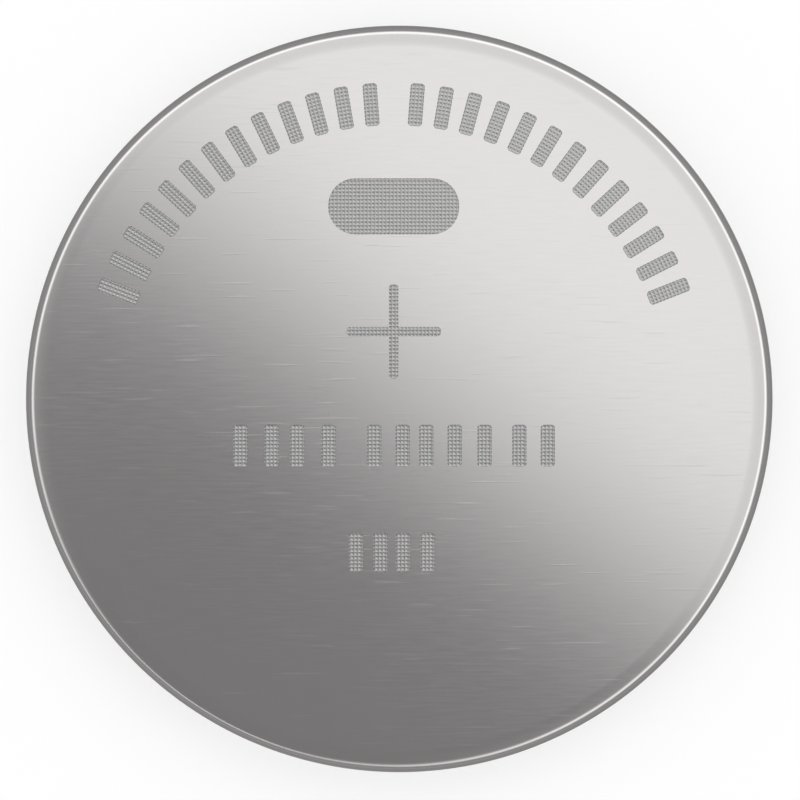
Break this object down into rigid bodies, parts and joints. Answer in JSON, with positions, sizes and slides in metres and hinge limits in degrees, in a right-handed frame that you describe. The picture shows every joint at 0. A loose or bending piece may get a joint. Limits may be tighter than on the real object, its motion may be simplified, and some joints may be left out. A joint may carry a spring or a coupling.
{
  "type": "lithium coin cell",
  "caption": "Flat round lithium coin cell with a crimped steel can, a sealing gasket, a minus cap and the cell stack inside.",
  "frame": {"origin": "centre of the minus contact's outer face, which the cell lies on", "axes": "+Z along the cell's axis, out of the plus face; +Y towards the top of the plus face's marks"},
  "size_m": [0.02, 0.02, 0.0016],
  "materials": {
    "can_steel": "fine straight grain, nickel plated",
    "cap_steel": "satin, nickel plated",
    "gasket_plastic": "moulded, dark grey",
    "cathode_powder": "pressed manganese dioxide powder",
    "mesh_steel": "bare expanded mesh",
    "separator_sheet": "thin nonwoven sheet",
    "lithium_foil": "dull soft metal foil"
  },
  "bodies": {
    "root": {"positive_can": "can_steel", "negative_cap": "cap_steel", "sealing_gasket": "gasket_plastic", "cathode_pellet": "cathode_powder", "collector_mesh": "mesh_steel", "separator": "separator_sheet", "lithium_disc": "lithium_foil"}
  },
  "joints": []
}
